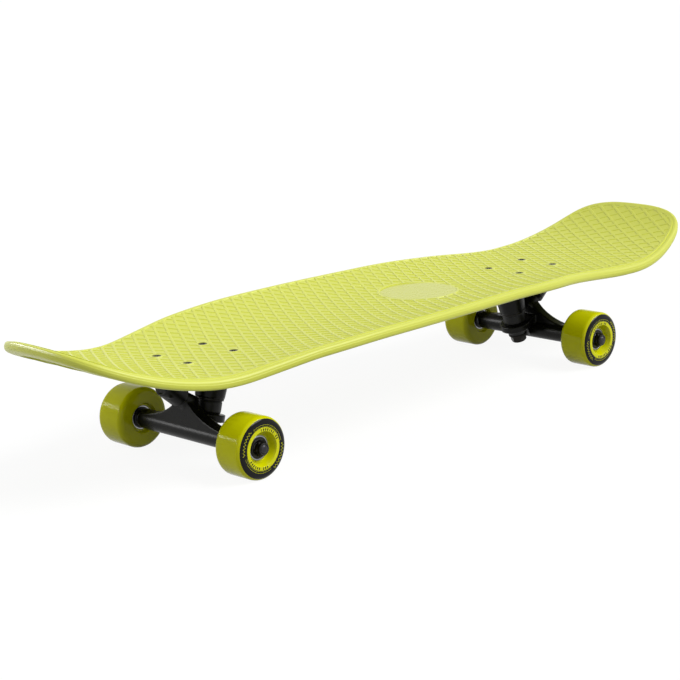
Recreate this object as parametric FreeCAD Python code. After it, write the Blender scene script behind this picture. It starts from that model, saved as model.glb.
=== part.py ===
import FreeCAD, Part
import math
import os

# A street skateboard: one moulded plastic deck, two standard-kingpin trucks that steer on
# urethane bushings, and four urethane wheels, each turning on a pair of ball bearings.
#
# Frame, in millimetres: the nose points to -X, the tail to +X, +Z is up, the ground is z = 0,
# and the origin is under the middle of the deck. The rider's left is -Y.

Vec = FreeCAD.Vector
os.makedirs("parts", exist_ok=True)

# ---------------------------------------------------------------- driving dimensions

# Deck
deck_length = 832.0
deck_edge = 10.0            # height of the deck's side wall
deck_shell = 5.0            # skin over the hollow underside
deck_rim_wall = 13.0        # solid band inside the outline
dish_depth = 10.0           # how far the sides rise above the centre line between the trucks
dish_half_width = 105.0     # half width at which the dish reaches its depth
centre_rise = 2.4           # gentle arch of the centre line between the trucks
nose_kick_start = 251.0     # distance from the deck's middle to where the nose bends up
nose_kick_radius = 315.0
tail_kick_start = 289.0
tail_kick_radius = 225.0
rib_thickness = 3.0
rib_pitch = 45.0            # spacing of the cross ribs under the deck
rib_offset = 36.0           # distance of the two outer lengthwise ribs from the middle
pad_radius = 38.0           # flat round place on top of the deck
pad_x = 55.0
pad_lift = 2.6              # height of the flat place above the bolt heads

# Half widths of the deck's outline, from nose to tail: (share of half the length, half width)
outline = [
    (-0.967, 51.0), (-0.858, 77.5), (-0.721, 88.5), (-0.553, 98.5), (-0.353, 108.6),
    (-0.180, 110.6), (0.0, 109.0), (0.180, 105.0), (0.349, 100.0), (0.493, 90.5),
    (0.608, 88.0), (0.709, 90.6), (0.800, 88.0), (0.885, 80.3), (0.962, 65.4),
]

# Trucks
truck_spacing = 450.0       # between the centres of the two bolt patterns
front_truck_x = -237.0
bolt_spacing_x = 53.98
bolt_spacing_y = 41.28
bolt_radius = 2.4
bolt_head_radius = 4.6
bolt_head_depth = 3.0
bolt_hole_clearance = 0.3
truck_height = 57.5         # from the baseplate's top face to the axle
plate_thickness = 5.5
plate_length = 80.0
plate_width = 56.0
plate_corner = 9.0
axle_offset = 11.5          # how far the axle stands outboard of the bolt pattern's centre
axle_radius = 3.96
hanger_length = 125.0
hanger_radius = 9.2
pivot_x = 30.5              # pivot tip, outboard of the bolt pattern's centre
pivot_z = 41.0              # pivot tip, above the axle
nose_radius = 5.5           # hanger's pivot nose
pivot_length = 14.0         # length of the pivot nose
spine_radius = 7.0          # hanger's neck behind the pivot nose
cup_wall = 2.0
cup_clearance = 0.06
housing_wall = 2.5
steer_clearance = 0.8       # gap between the hanger's neck and the pivot housing

# Kingpin and what is stacked on it
kingpin_lean = 16.0         # degrees from upright, lower end outboard
kingpin_x = -14.0           # centre of the kingpin boss's lower face
kingpin_z = 24.0
kingpin_radius = 4.7
kingpin_head_radius = 8.0
kingpin_head_depth = 6.0
head_corner_relief = 0.294  # how much nearer the deck the head's turned-off corners may come
boss_radius = 13.5
boss_flare = 3.5
washer_thickness = 1.5
top_washer_radius = 13.0
bottom_washer_radius = 9.5
top_bushing_radius = 12.0
top_bushing_height = 12.0
ring_radius = 16.5
ring_height = 7.0
ring_hole_radius = 7.0
bottom_bushing_radius = 10.6
bottom_bushing_height = 6.5
nut_flats = 14.3
nut_height = 7.0
thread_stickout = 1.0
seat_radius = 11.8          # room cut in the hanger for the bottom bushing and nut

# Wheels and bearings
wheel_radius = 28.2
wheel_width = 33.0
wheel_edge_round = 5.6
lip_radius = 15.6
core_recess = 6.0           # depth of the outer recess down to the bearing
back_recess = 3.0           # depth of the inner recess
bearing_outer_radius = 11.0
bearing_width = 7.0
race_wall = 1.5             # outer race, at its edge
inner_race_radius = 6.0
bearing_seat_gap = 0.02
ball_radius = 1.98
ball_count = 7
ball_clearance = 0.05
shield_thickness = 0.4
shield_gap = 0.25
washer_radius = 5.6
speed_washer = 1.0
axle_nut_flats = 12.7
axle_nut_height = 6.0
locknut_flats = 9.5
locknut_height = 6.0
bolt_stickout = 1.5
axle_stickout = 0.95        # how far the axle's ends stand out of their nuts

# ---------------------------------------------------------------- sizes that follow

ground_to_axle = wheel_radius
plate_top_z = ground_to_axle + truck_height
bolt_head_z = plate_top_z + deck_edge
half_length = deck_length / 2
wheel_inner_y = hanger_length / 2 + 0.05
spacer_length = wheel_width - core_recess - back_recess - 2 * bearing_width
rear_truck_x = front_truck_x + truck_spacing
axle_nut_end = wheel_width - core_recess + speed_washer + axle_nut_height
axle_length = 2 * (wheel_inner_y + axle_nut_end + axle_stickout)
lean = math.radians(kingpin_lean)
kingpin_down = Vec(math.sin(lean), 0, -math.cos(lean))
kingpin_head_sink = kingpin_head_radius * math.tan(lean) - head_corner_relief
boss_face = Vec(kingpin_x, 0, kingpin_z)
ring_top = washer_thickness + top_bushing_height
ring_bottom = ring_top + ring_height
bottom_washer_top = ring_bottom + bottom_bushing_height
nut_top = bottom_washer_top + washer_thickness
kingpin_end = nut_top + nut_height + thread_stickout
ring_centre = boss_face + kingpin_down * (ring_top + ring_height / 2)
pivot_tip = Vec(pivot_x, 0, pivot_z)
steer_length = (pivot_tip - ring_centre).Length
steer_axis = (pivot_tip - ring_centre).normalize()


# ---------------------------------------------------------------- helpers

def smooth_step(t):
    """0 below 0, 1 above 1, and a smooth ramp between."""
    t = min(max(t, 0.0), 1.0)
    return t * t * (3 - 2 * t)


def turned(profile, foot=Vec(0, 0, 0), axis=Vec(0, 0, 1)):
    """A solid turned about axis from a closed profile of (radius, height above foot)."""
    points = [Vec(radius, 0, height) for radius, height in profile]
    face = Part.Face(Part.makePolygon(points + points[:1]))
    solid = face.revolve(Vec(0, 0, 0), Vec(0, 0, 1), 360)
    if solid.Volume < 0:
        solid.reverse()
    turn = FreeCAD.Rotation(Vec(0, 0, 1), axis)
    solid.Placement = FreeCAD.Placement(foot, turn)
    return solid


def tube(inner, outer, start, end, foot=Vec(0, 0, 0), axis=Vec(0, 0, 1)):
    """A plain ring between two heights along an axis."""
    return turned([(inner, start), (outer, start), (outer, end), (inner, end)], foot, axis)


def rod(radius, start, end, foot=Vec(0, 0, 0), axis=Vec(0, 0, 1)):
    """A plain cylinder between two heights along an axis."""
    return turned([(0, start), (radius, start), (radius, end), (0, end)], foot, axis)


def hex_prism(flats, start, end, foot, axis):
    """A hexagonal prism between two heights along an axis, its corners lightly turned off."""
    corner = flats / math.sqrt(3)
    points = [Vec(corner * math.cos(math.radians(60 * k)), corner * math.sin(math.radians(60 * k)), start)
              for k in range(6)]
    prism = Part.Face(Part.makePolygon(points + points[:1])).extrude(Vec(0, 0, end - start))
    chamfer = corner - flats / 2
    shape = [(0, start), (flats / 2, start), (corner, start + chamfer), (corner, end - chamfer),
             (flats / 2, end), (0, end)]
    prism = prism.common(turned(shape))
    prism.Placement = FreeCAD.Placement(foot, FreeCAD.Rotation(Vec(0, 0, 1), axis))
    return prism


def block(x0, x1, y0, y1, z0, z1):
    return Part.makeBox(x1 - x0, y1 - y0, z1 - z0, Vec(x0, y0, z0))


def moved(shape, placement):
    copy = shape.copy()
    copy.Placement = placement.multiply(copy.Placement)
    return copy


def export(shape, name):
    shape.exportStep("parts/" + name + ".step")


# ---------------------------------------------------------------- deck

def kick(distance, radius):
    """Rise of a circular bend, a given distance past its start."""
    distance = min(max(distance, 0.0), 0.95 * radius)
    return radius - math.sqrt(radius * radius - distance * distance)


def deck_top(x, y):
    """Height of the deck's upper face: arched centre line, kicked ends and dished sides."""
    between_trucks = smooth_step((x - front_truck_x - 20) / 120)
    between_trucks *= smooth_step((rear_truck_x - 20 - x) / 120)
    rise = centre_rise * between_trucks
    rise += kick(-nose_kick_start - x, nose_kick_radius)
    rise += kick(x - tail_kick_start, tail_kick_radius)
    dish = dish_depth * smooth_step((x - front_truck_x) / 123 + 0.5)
    dish *= smooth_step((rear_truck_x + 11 - x) / 108 + 0.5)
    return bolt_head_z + rise + dish * (y / dish_half_width) ** 2


def deck_face(drop):
    """The deck's upper face moved down by drop, larger all round than the outline."""
    across = [15.0 * k for k in range(-8, 9)]
    step = (deck_length + 40) / 44
    along = [-half_length - 20 + step * k for k in range(45)]
    surface = Part.BSplineSurface()
    surface.interpolate([[Vec(x, y, deck_top(x, y) - drop) for y in across] for x in along])
    return surface.toShape()


def outline_face(inset):
    """The deck's plan shape, drawn in from the edge by inset: one side's curve and its mirror image."""
    reach = half_length - inset
    points = [Vec(-reach, 0, 0)]
    points += [Vec(share * reach, inset - half_width, 0) for share, half_width in outline]
    points += [Vec(reach, 0, 0)]
    stations = [0.0]
    for start, end in zip(points, points[1:]):
        stations.append(stations[-1] + (end - start).Length)
    # it crosses the middle line squarely at both tips, where the two halves meet
    side = Part.BSplineCurve()
    side.interpolate(points, Parameters=stations, InitialTangent=Vec(0, -1, 0), FinalTangent=Vec(0, 1, 0),
                     Scale=False)
    left = side.toShape()
    right = left.mirror(Vec(0, 0, 0), Vec(0, 1, 0))
    return Part.Face(Part.Wire([left, right]))


def underside_pockets():
    """The open pockets under the deck, between the rim, the truck pads and the ribs."""
    low = bolt_head_z - 60
    hollow = deck_face(deck_shell).extrude(Vec(0, 0, -80))
    inside = outline_face(deck_rim_wall).extrude(Vec(0, 0, 300))
    hollow = hollow.common(inside)
    ribs = [block(-half_length, half_length, y - rib_thickness / 2, y + rib_thickness / 2, low, low + 200)
            for y in (-rib_offset, 0.0, rib_offset)]
    count = int((half_length - deck_rim_wall) / rib_pitch)
    for k in range(-count, count + 1):
        x = k * rib_pitch
        ribs.append(block(x - rib_thickness / 2, x + rib_thickness / 2, -130, 130, low, low + 200))
    for truck_x in (front_truck_x, rear_truck_x):
        reach_x = plate_length / 2 + 3
        reach_y = plate_width / 2 + 3
        ribs.append(block(truck_x - reach_x, truck_x + reach_x, -reach_y, reach_y, low, low + 200))
    return hollow.cut(ribs)


def bolt_places():
    """The four bolt centres of a truck, about its pattern's centre."""
    return [(sx * bolt_spacing_x / 2, sy * bolt_spacing_y / 2) for sx in (-1, 1) for sy in (-1, 1)]


def make_deck():
    slab = deck_face(0).extrude(Vec(0, 0, -deck_edge))
    deck = slab.common(outline_face(0).extrude(Vec(0, 0, 300)))
    # the truck pads are flat below, level with the baseplates
    deck = deck.cut(underside_pockets())
    reach_x = plate_length / 2 + 3
    reach_y = plate_width / 2 + 3
    for truck_x in (front_truck_x, rear_truck_x):
        x0, x1 = truck_x - reach_x, truck_x + reach_x
        deck = deck.cut(block(x0, x1, -reach_y, reach_y, plate_top_z - 20, plate_top_z))
        deck = deck.fuse(block(x0, x1, -reach_y, reach_y, plate_top_z, plate_top_z + deck_edge / 2))
    pad_top = bolt_head_z + pad_lift
    deck = deck.cut(rod(pad_radius, pad_top, pad_top + 20, Vec(pad_x, 0, 0)))
    deck = deck.fuse(rod(pad_radius, pad_top - deck_shell, pad_top, Vec(pad_x, 0, 0)))
    hole = bolt_radius + bolt_hole_clearance
    sink = bolt_head_radius + bolt_hole_clearance
    for truck_x in (front_truck_x, rear_truck_x):
        for x, y in bolt_places():
            foot = Vec(truck_x + x, y, 0)
            deck = deck.cut(turned([(0, plate_top_z - 1), (hole, plate_top_z - 1),
                                    (hole, bolt_head_z - bolt_head_depth), (sink, bolt_head_z),
                                    (sink, bolt_head_z + 5), (0, bolt_head_z + 5)], foot))
    return deck.removeSplitter()


# ---------------------------------------------------------------- truck, about its bolt pattern
# In the truck's own frame +X is outboard, the axle is at height 0 and x = axle_offset.

def make_baseplate():
    """The cast plate with its kingpin boss, its pivot housing and the rib between them."""
    half_x, half_y = plate_length / 2, plate_width / 2
    under = truck_height - plate_thickness
    plate = block(-half_x, half_x, -half_y, half_y, under, truck_height)
    upright = [e for e in plate.Edges if abs(e.Vertexes[0].X - e.Vertexes[1].X) < 1e-6
               and abs(e.Vertexes[0].Y - e.Vertexes[1].Y) < 1e-6]
    plate = plate.makeFillet(plate_corner, upright)
    up = kingpin_down * -1
    boss_length = (truck_height - kingpin_z) / math.cos(lean) + 6
    boss = turned([(0, 0), (boss_radius, 0), (boss_radius + boss_flare, boss_length), (0, boss_length)],
                  boss_face, up)
    housing_radius = nose_radius + cup_clearance + cup_wall + housing_wall
    mouth = pivot_length - steer_clearance
    housing = rod(housing_radius, -mouth, 4 + cup_wall + housing_wall, pivot_tip, steer_axis)
    mouth_centre = pivot_tip - steer_axis * mouth
    wedge = Part.Face(Part.makePolygon([
        Vec(mouth_centre.x, 0, mouth_centre.z + 2), Vec(pivot_tip.x + 8, 0, pivot_tip.z - 5),
        Vec(half_x + 2, 0, truck_height - 14), Vec(half_x, 0, truck_height - 2),
        Vec(4, 0, truck_height - 2), Vec(mouth_centre.x, 0, mouth_centre.z + 2)]))
    wedge = wedge.extrude(Vec(0, 2 * housing_radius - 4, 0))
    wedge.translate(Vec(0, 2 - housing_radius, 0))
    rib = block(kingpin_x, mouth_centre.x, -3, 3, under - 7, truck_height - 1)
    body = plate.fuse([boss, housing, wedge, rib])
    body = body.common(block(-100, 100, -100, 100, -50, truck_height))
    head_seat = boss_length - 6 - kingpin_head_depth - kingpin_head_sink
    cup_radius = nose_radius + cup_clearance + cup_wall + 0.02
    body = body.cut([
        rod(kingpin_radius + 0.1, -1, boss_length + 20, boss_face, up),
        rod(kingpin_head_radius + 0.3, head_seat, boss_length + 20, boss_face, up),
        rod(cup_radius, -mouth - 20, cup_wall, pivot_tip, steer_axis),
    ])
    # nothing but the neck itself may stand in the mouth of the housing
    body = body.cut(tube(0.1, housing_radius + 12, -mouth - 25, -mouth, pivot_tip, steer_axis)
                    .common(block(0, 60, -30, 30, 0, under - 8)))
    holes = [rod(bolt_radius + bolt_hole_clearance, under - 1, truck_height + 1, Vec(x, y, 0))
             for x, y in bolt_places()]
    return body.cut(holes).removeSplitter()


def make_pivot_cup():
    """The urethane cup that lines the pivot housing."""
    inner = nose_radius + cup_clearance
    outer = inner + cup_wall
    mouth = pivot_length - steer_clearance
    return turned([(inner, -mouth), (outer, -mouth), (outer, cup_wall), (0, cup_wall),
                   (0, cup_clearance), (inner - 2, cup_clearance), (inner, -2)], pivot_tip, steer_axis)


def make_kingpin():
    up = kingpin_down * -1
    seat = (truck_height - kingpin_z) / math.cos(lean) - kingpin_head_depth - kingpin_head_sink
    shank = rod(kingpin_radius, -kingpin_end, seat, boss_face, up)
    head = hex_prism(kingpin_head_radius * math.sqrt(3), seat, seat + kingpin_head_depth, boss_face, up)
    return shank.fuse(head)


def make_washer(radius, start):
    """A cupped washer on the kingpin, start being the distance of its upper face below the boss."""
    bore = kingpin_radius + 0.05
    return tube(bore, radius, start, start + washer_thickness, boss_face, kingpin_down)


def make_top_bushing():
    """The barrel bushing between the baseplate and the hanger's ring."""
    top, bottom = washer_thickness, ring_top
    waist = top_bushing_radius - 0.8
    return turned([(kingpin_radius + 0.1, top), (waist, top), (top_bushing_radius, top + 2),
                   (top_bushing_radius, bottom - 2), (waist, bottom), (kingpin_radius + 0.1, bottom)],
                  boss_face, kingpin_down)


def make_bottom_bushing():
    """The cone bushing under the hanger's ring."""
    return turned([(kingpin_radius + 0.1, ring_bottom), (bottom_bushing_radius, ring_bottom),
                   (bottom_washer_radius - 0.6, bottom_washer_top),
                   (kingpin_radius + 0.1, bottom_washer_top)], boss_face, kingpin_down)


def make_kingpin_nut():
    nut = hex_prism(nut_flats, nut_top, nut_top + nut_height, boss_face, kingpin_down)
    return nut.cut(rod(kingpin_radius + 0.02, nut_top - 1, nut_top + nut_height + 1, boss_face, kingpin_down))


def make_hanger():
    """The cast hanger: axle housing, triangular web, ring, neck and pivot nose."""
    half = hanger_length / 2
    across = Vec(0, 1, 0)
    axle_centre = Vec(axle_offset, 0, 0)
    shoulder = half + back_recess - speed_washer
    housing = turned([(0, -shoulder), (washer_radius + 1, -shoulder), (washer_radius + 1, -half),
                      (hanger_radius - 1, -half), (hanger_radius, -half + 1), (hanger_radius, half - 1),
                      (hanger_radius - 1, half), (washer_radius + 1, half), (washer_radius + 1, shoulder),
                      (0, shoulder)], axle_centre, across)
    # web: a gusset whose upper edge sweeps from the ends of the housing up to the neck
    crown = ring_centre + steer_axis * (steer_length - pivot_length - 3)
    top = [Vec(0, half - 3, hanger_radius - 2.5), Vec(0, half * 0.6, hanger_radius + 1.5),
           Vec(0, half * 0.3, crown.z * 0.62), Vec(0, spine_radius - 1, crown.z)]
    left_edge = Part.BSplineCurve()
    left_edge.interpolate(top)
    right_edge = Part.BSplineCurve()
    right_edge.interpolate([Vec(0, -p.y, p.z) for p in reversed(top)])
    wire = Part.Wire([left_edge.toShape(), Part.makeLine(top[-1], Vec(0, -top[-1].y, top[-1].z)),
                      right_edge.toShape(), Part.makeLine(Vec(0, -top[0].y, top[0].z), Vec(0, 4 - half, 0)),
                      Part.makeLine(Vec(0, 4 - half, 0), Vec(0, half - 4, 0)),
                      Part.makeLine(Vec(0, half - 4, 0), top[0])])
    web = Part.Face(wire).extrude(Vec(hanger_radius * 1.25, 0, 0))
    web.translate(Vec(axle_offset - hanger_radius * 0.42, 0, 0))
    neck_start = 22.0
    neck_end = steer_length - pivot_length
    neck = turned([(0, neck_start), (spine_radius + 2, neck_start), (spine_radius, neck_end),
                   (0, neck_end)], ring_centre, steer_axis)
    nose = turned([(0, neck_end - 2), (nose_radius, neck_end - 2), (nose_radius, steer_length - 2),
                   (nose_radius - 2, steer_length), (0, steer_length)], ring_centre, steer_axis)
    ring = rod(ring_radius, ring_top, ring_bottom, boss_face, kingpin_down)
    outboard = Vec(math.cos(lean), 0, math.sin(lean))
    yoke = Part.makeBox(22, 26, ring_height, Vec(0, -13, 0))
    frame = FreeCAD.Rotation(outboard, Vec(0, 1, 0), kingpin_down * -1)
    yoke.Placement = FreeCAD.Placement(boss_face + kingpin_down * ring_bottom, frame)
    body = housing.fuse([web, neck, nose, ring, yoke])
    body = body.cut([
        rod(ring_hole_radius, ring_top - 5, ring_bottom + 5, boss_face, kingpin_down),
        rod(seat_radius, ring_bottom, ring_bottom + 40, boss_face, kingpin_down),
        rod(top_bushing_radius + 2.5, -10, ring_top, boss_face, kingpin_down),
        rod(axle_radius + 0.02, -half - 10, half + 10, axle_centre, across),
    ])
    return body.removeSplitter()


def make_axle():
    half = axle_length / 2
    return turned([(0, -half), (axle_radius - 0.8, -half), (axle_radius, 0.8 - half), (axle_radius, half - 0.8),
                   (axle_radius - 0.8, half), (0, half)], Vec(axle_offset, 0, 0), Vec(0, 1, 0))


def make_bolts():
    """The four flat-head deck bolts of one truck."""
    top = truck_height + deck_edge
    end = truck_height - plate_thickness - locknut_height - bolt_stickout
    profile = [(0, end), (bolt_radius, end), (bolt_radius, top - bolt_head_depth), (bolt_head_radius, top),
               (0, top)]
    return Part.makeCompound([turned(profile, Vec(x, y, 0)) for x, y in bolt_places()])


def make_locknuts():
    under = truck_height - plate_thickness
    nuts = []
    for x, y in bolt_places():
        nut = hex_prism(locknut_flats, under - locknut_height, under, Vec(x, y, 0), Vec(0, 0, 1))
        nuts.append(nut.cut(rod(bolt_radius + 0.02, 0, under + 1, Vec(x, y, 0))))
    return Part.makeCompound(nuts)


truck_pieces = {
    "baseplate": make_baseplate,
    "pivot_cup": make_pivot_cup,
    "kingpin": make_kingpin,
    "top_washer": lambda: make_washer(top_washer_radius, 0.0),
    "top_bushing": make_top_bushing,
    "bottom_bushing": make_bottom_bushing,
    "bottom_washer": lambda: make_washer(bottom_washer_radius, bottom_washer_top),
    "kingpin_nut": make_kingpin_nut,
    "hanger": make_hanger,
    "axle": make_axle,
    "deck_bolts": make_bolts,
    "locknuts": make_locknuts,
}


# ---------------------------------------------------------------- wheel, along its own axle
# Height 0 is the wheel's inner face, and heights grow towards its outer face.

bearing_starts = (back_recess, back_recess + bearing_width + spacer_length)


def make_wheel():
    """The cast urethane wheel with its two bearing seats."""
    seat = bearing_outer_radius + bearing_seat_gap
    bore = bearing_outer_radius - 2
    near_end = back_recess + bearing_width
    far_start = near_end + spacer_length
    far_end = far_start + bearing_width
    wheel = turned([(lip_radius - 1.6, 0), (wheel_radius, 0), (wheel_radius, wheel_width),
                    (lip_radius, wheel_width), (seat + 1, far_end), (seat, far_end), (seat, far_start),
                    (bore, far_start), (bore, near_end), (seat, near_end), (seat, back_recess),
                    (seat + 1.6, back_recess)])
    rims = [e for e in wheel.Edges if e.Curve.TypeId == "Part::GeomCircle"
            and abs(e.Curve.Radius - wheel_radius) < 1e-6]
    return wheel.makeFillet(wheel_edge_round, rims)


def ball_track():
    pitch = (bearing_outer_radius - race_wall + inner_race_radius) / 2 - 0.2
    return pitch, ball_radius + ball_clearance


def make_outer_races():
    """Two outer races, each with a thin shield across both ends."""
    pitch, groove = ball_track()
    races = []
    for start in bearing_starts:
        inner = bearing_outer_radius - race_wall
        shield_hole = inner_race_radius + shield_gap
        end = start + bearing_width
        race = tube(inner, bearing_outer_radius, start, end)
        race = race.cut(Part.makeTorus(pitch, groove, Vec(0, 0, start + bearing_width / 2)))
        low = tube(shield_hole, inner, start + 0.2, start + 0.2 + shield_thickness)
        high = tube(shield_hole, inner, end - 0.2 - shield_thickness, end - 0.2)
        races.append(race.fuse([low, high]))
    return Part.makeCompound(races)


def make_inner_races():
    pitch, groove = ball_track()
    races = []
    for start in bearing_starts:
        race = tube(axle_radius + 0.03, inner_race_radius, start, start + bearing_width)
        races.append(race.cut(Part.makeTorus(pitch, groove, Vec(0, 0, start + bearing_width / 2))))
    return Part.makeCompound(races)


def make_balls():
    pitch, groove = ball_track()
    balls = []
    for start in bearing_starts:
        for k in range(ball_count):
            turn = 2 * math.pi * k / ball_count
            centre = Vec(pitch * math.cos(turn), pitch * math.sin(turn), start + bearing_width / 2)
            balls.append(Part.makeSphere(ball_radius, centre))
    return Part.makeCompound(balls)


def make_spacer():
    start = back_recess + bearing_width
    return tube(axle_radius + 0.1, washer_radius, start, start + spacer_length)


def make_speed_washers():
    """One thin washer each side of the bearings."""
    outer_face = wheel_width - core_recess
    bore = axle_radius + 0.1
    return Part.makeCompound([
        tube(bore, washer_radius, back_recess - speed_washer, back_recess),
        tube(bore, washer_radius, outer_face, outer_face + speed_washer),
    ])


def make_axle_nut():
    start = wheel_width - core_recess + speed_washer
    nut = hex_prism(axle_nut_flats, start, start + axle_nut_height, Vec(0, 0, 0), Vec(0, 0, 1))
    return nut.cut(rod(axle_radius + 0.02, start - 1, start + axle_nut_height + 1))


wheel_pieces = {
    "wheel": make_wheel,
    "outer_races": make_outer_races,
    "inner_races": make_inner_races,
    "balls": make_balls,
    "spacer": make_spacer,
    "speed_washers": make_speed_washers,
    "axle_nut": make_axle_nut,
}


# ---------------------------------------------------------------- assembly

def build():
    export(make_deck(), "deck")
    trucks = {
        "front": FreeCAD.Placement(Vec(front_truck_x, 0, ground_to_axle), FreeCAD.Rotation(Vec(0, 0, 1), 180)),
        "rear": FreeCAD.Placement(Vec(rear_truck_x, 0, ground_to_axle), FreeCAD.Rotation()),
    }
    for piece, make in truck_pieces.items():
        shape = make()
        for end, place in trucks.items():
            export(moved(shape, place), end + "_" + piece)
    axle_x = {"front": front_truck_x - axle_offset, "rear": rear_truck_x + axle_offset}
    sides = {"left": -1, "right": 1}
    for piece, make in wheel_pieces.items():
        shape = make()
        for end, x in axle_x.items():
            for side, sign in sides.items():
                turn = FreeCAD.Rotation(Vec(0, 0, 1), Vec(0, sign, 0))
                place = FreeCAD.Placement(Vec(x, sign * wheel_inner_y, ground_to_axle), turn)
                export(moved(shape, place), end + "_" + side + "_" + piece)


build()
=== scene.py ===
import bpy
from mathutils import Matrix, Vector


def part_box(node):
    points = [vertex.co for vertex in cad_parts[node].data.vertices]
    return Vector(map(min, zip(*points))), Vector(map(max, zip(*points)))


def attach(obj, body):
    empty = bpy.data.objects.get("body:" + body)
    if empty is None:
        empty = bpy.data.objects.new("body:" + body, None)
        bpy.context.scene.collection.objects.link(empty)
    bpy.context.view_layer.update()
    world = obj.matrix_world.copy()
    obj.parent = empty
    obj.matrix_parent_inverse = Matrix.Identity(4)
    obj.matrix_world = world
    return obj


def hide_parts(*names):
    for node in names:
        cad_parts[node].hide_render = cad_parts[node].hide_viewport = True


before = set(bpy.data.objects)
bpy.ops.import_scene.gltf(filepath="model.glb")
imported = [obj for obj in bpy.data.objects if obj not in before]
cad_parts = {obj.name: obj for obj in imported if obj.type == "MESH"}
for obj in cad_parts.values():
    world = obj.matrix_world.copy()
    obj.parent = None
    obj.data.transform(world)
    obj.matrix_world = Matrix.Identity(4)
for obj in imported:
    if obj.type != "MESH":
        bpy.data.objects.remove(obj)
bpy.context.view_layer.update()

import math

import bmesh
import bpy
import numpy as np
from bpy.props import FloatProperty, FloatVectorProperty, IntProperty, PointerProperty
from mathutils import Matrix
from mathutils.geometry import delaunay_2d_cdt

bl_info = {
    "name": "Street Skateboard",
    "version": (1, 0, 0),
    "blender": (4, 5, 0),
    "location": "3D View > Sidebar > Skateboard",
    "description": "Builds the visible pieces of a moulded plastic skateboard around its frame",
    "category": "Add Mesh",
}

MM = 0.001
ENDS = ("front", "rear")
SIDES = {"left": -1.0, "right": 1.0}

# The nose points to -X, +Z is up and the ground is z = 0. All lengths are in metres.

# Half widths of the deck's outline from nose to tail: share of half the length, half width
OUTLINE = np.array([
    (-0.967, 51.0), (-0.858, 77.5), (-0.721, 88.5), (-0.553, 98.5), (-0.353, 108.6),
    (-0.180, 110.6), (0.0, 109.0), (0.180, 105.0), (0.349, 100.0), (0.493, 90.5),
    (0.608, 88.0), (0.709, 90.6), (0.800, 88.0), (0.885, 80.3), (0.962, 65.4),
])


def linear(code):
    """A linear RGBA colour from an sRGB hex code: (c / 12.92) for dark values, else ((c + 0.055) / 1.055) ^ 2.4."""
    values = [int(code[k:k + 2], 16) / 255.0 for k in (1, 3, 5)]
    return [c / 12.92 if c <= 0.04045 else ((c + 0.055) / 1.055) ** 2.4 for c in values] + [1.0]


# ---------------------------------------------------------------- sizes and colours to change

def length(name, description, millimetres):
    return FloatProperty(name=name, description=description, default=millimetres * MM, unit="LENGTH",
                         precision=5)


def colour(name, description, code):
    return FloatVectorProperty(name=name, description=description, default=linear(code), size=4,
                               subtype="COLOR", min=0.0, max=1.0)


class DeckSettings(bpy.types.PropertyGroup):
    cell_along: length("Cell along", "Length of one diamond pocket's diagonal along the deck", 12.6)
    cell_across: length("Cell across", "Length of one diamond pocket's diagonal across the deck", 20.1)
    rib_width: length("Rib width", "Width of the ribs between the pockets, at their top", 1.9)
    pocket_depth: length("Pocket depth", "Depth of the diamond pockets", 0.7)
    border_rib: length("Border rib", "Width of the rib that bounds the pockets", 1.6)
    wall_run: length("Wall run", "How far a pocket's wall leans in from top to floor", 0.6)
    plastic: colour("Plastic", "Colour of the moulded plastic", "#D2D757")
    # the deep colour is painted shade: the grain mixes it in where its bump is low, darkening the texture's hollows
    plastic_painted_shade: colour("Plastic, deep", "Colour in the moulded texture's hollows", "#CBD146")
    steps: IntProperty(name="Outline steps", description="Points round the deck's outline", default=720)


class WheelSettings(bpy.types.PropertyGroup):
    urethane: colour("Urethane", "Colour of the cast wheels", "#D0D104")
    urethane_deep: colour("Urethane, deep", "Darker streaks in the cast wheels", "#C6C703")
    # the lip's paler colour is a painted highlight on the outer face, where the light falls, not a polish of the
    # mould
    lip: colour("Lip", "Colour of the bare outer face, polished by the mould", "#D6D80C")
    print_ink: colour("Printed ring", "Colour of the printed ring on the outer face", "#0D0D0C")
    ring_outer: length("Ring outer radius", "Outer radius of the printed ring", 26.3)
    ring_inner: length("Ring inner radius", "Radius where the printed ring meets the raised lip", 18.9)
    lip_rise: length("Lip rise", "How far the lip stands above the printed ring", 0.35)
    steps: IntProperty(name="Steps", description="Facets round a wheel", default=160)


class TruckSettings(bpy.types.PropertyGroup):
    paint: colour("Paint", "Colour of the coated castings", "#131311")
    oxide: colour("Oxide", "Colour of the blackened steel fasteners", "#1E1D1B")
    fillet_voxel: length("Fillet grain", "Grain of the castings' rounded corners", 0.75)
    fillet_passes: IntProperty(name="Fillet passes", description="Rounding passes on the castings",
                               default=7)
    thread_pitch: length("Thread pitch", "Pitch of the axle's thread", 1.06)


class StageSettings(bpy.types.PropertyGroup):
    lens: FloatProperty(name="Lens", description="Focal length in millimetres on a 36 mm sensor",
                        default=102.88)
    world_light: FloatProperty(name="Sky light", description="Strength of the even light all round",
                               default=0.38)
    key_light: FloatProperty(name="Key light", description="Strength of the large soft key light",
                             default=2.7)
    shadow_share: FloatProperty(name="Shadow share", description="How much of a shadow the floor shows",
                                default=0.25)


# ---------------------------------------------------------------- materials

def add(tree, kind, links=None, **settings):
    """Adds a node, sets its settings, and feeds each named or numbered input from a value or a socket."""
    node = tree.nodes.new(kind)
    for key, value in settings.items():
        setattr(node, key, value)
    for key, value in (links or {}).items():
        if isinstance(value, bpy.types.NodeSocket):
            tree.links.new(value, node.inputs[key])
        else:
            node.inputs[key].default_value = value
    return node


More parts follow.
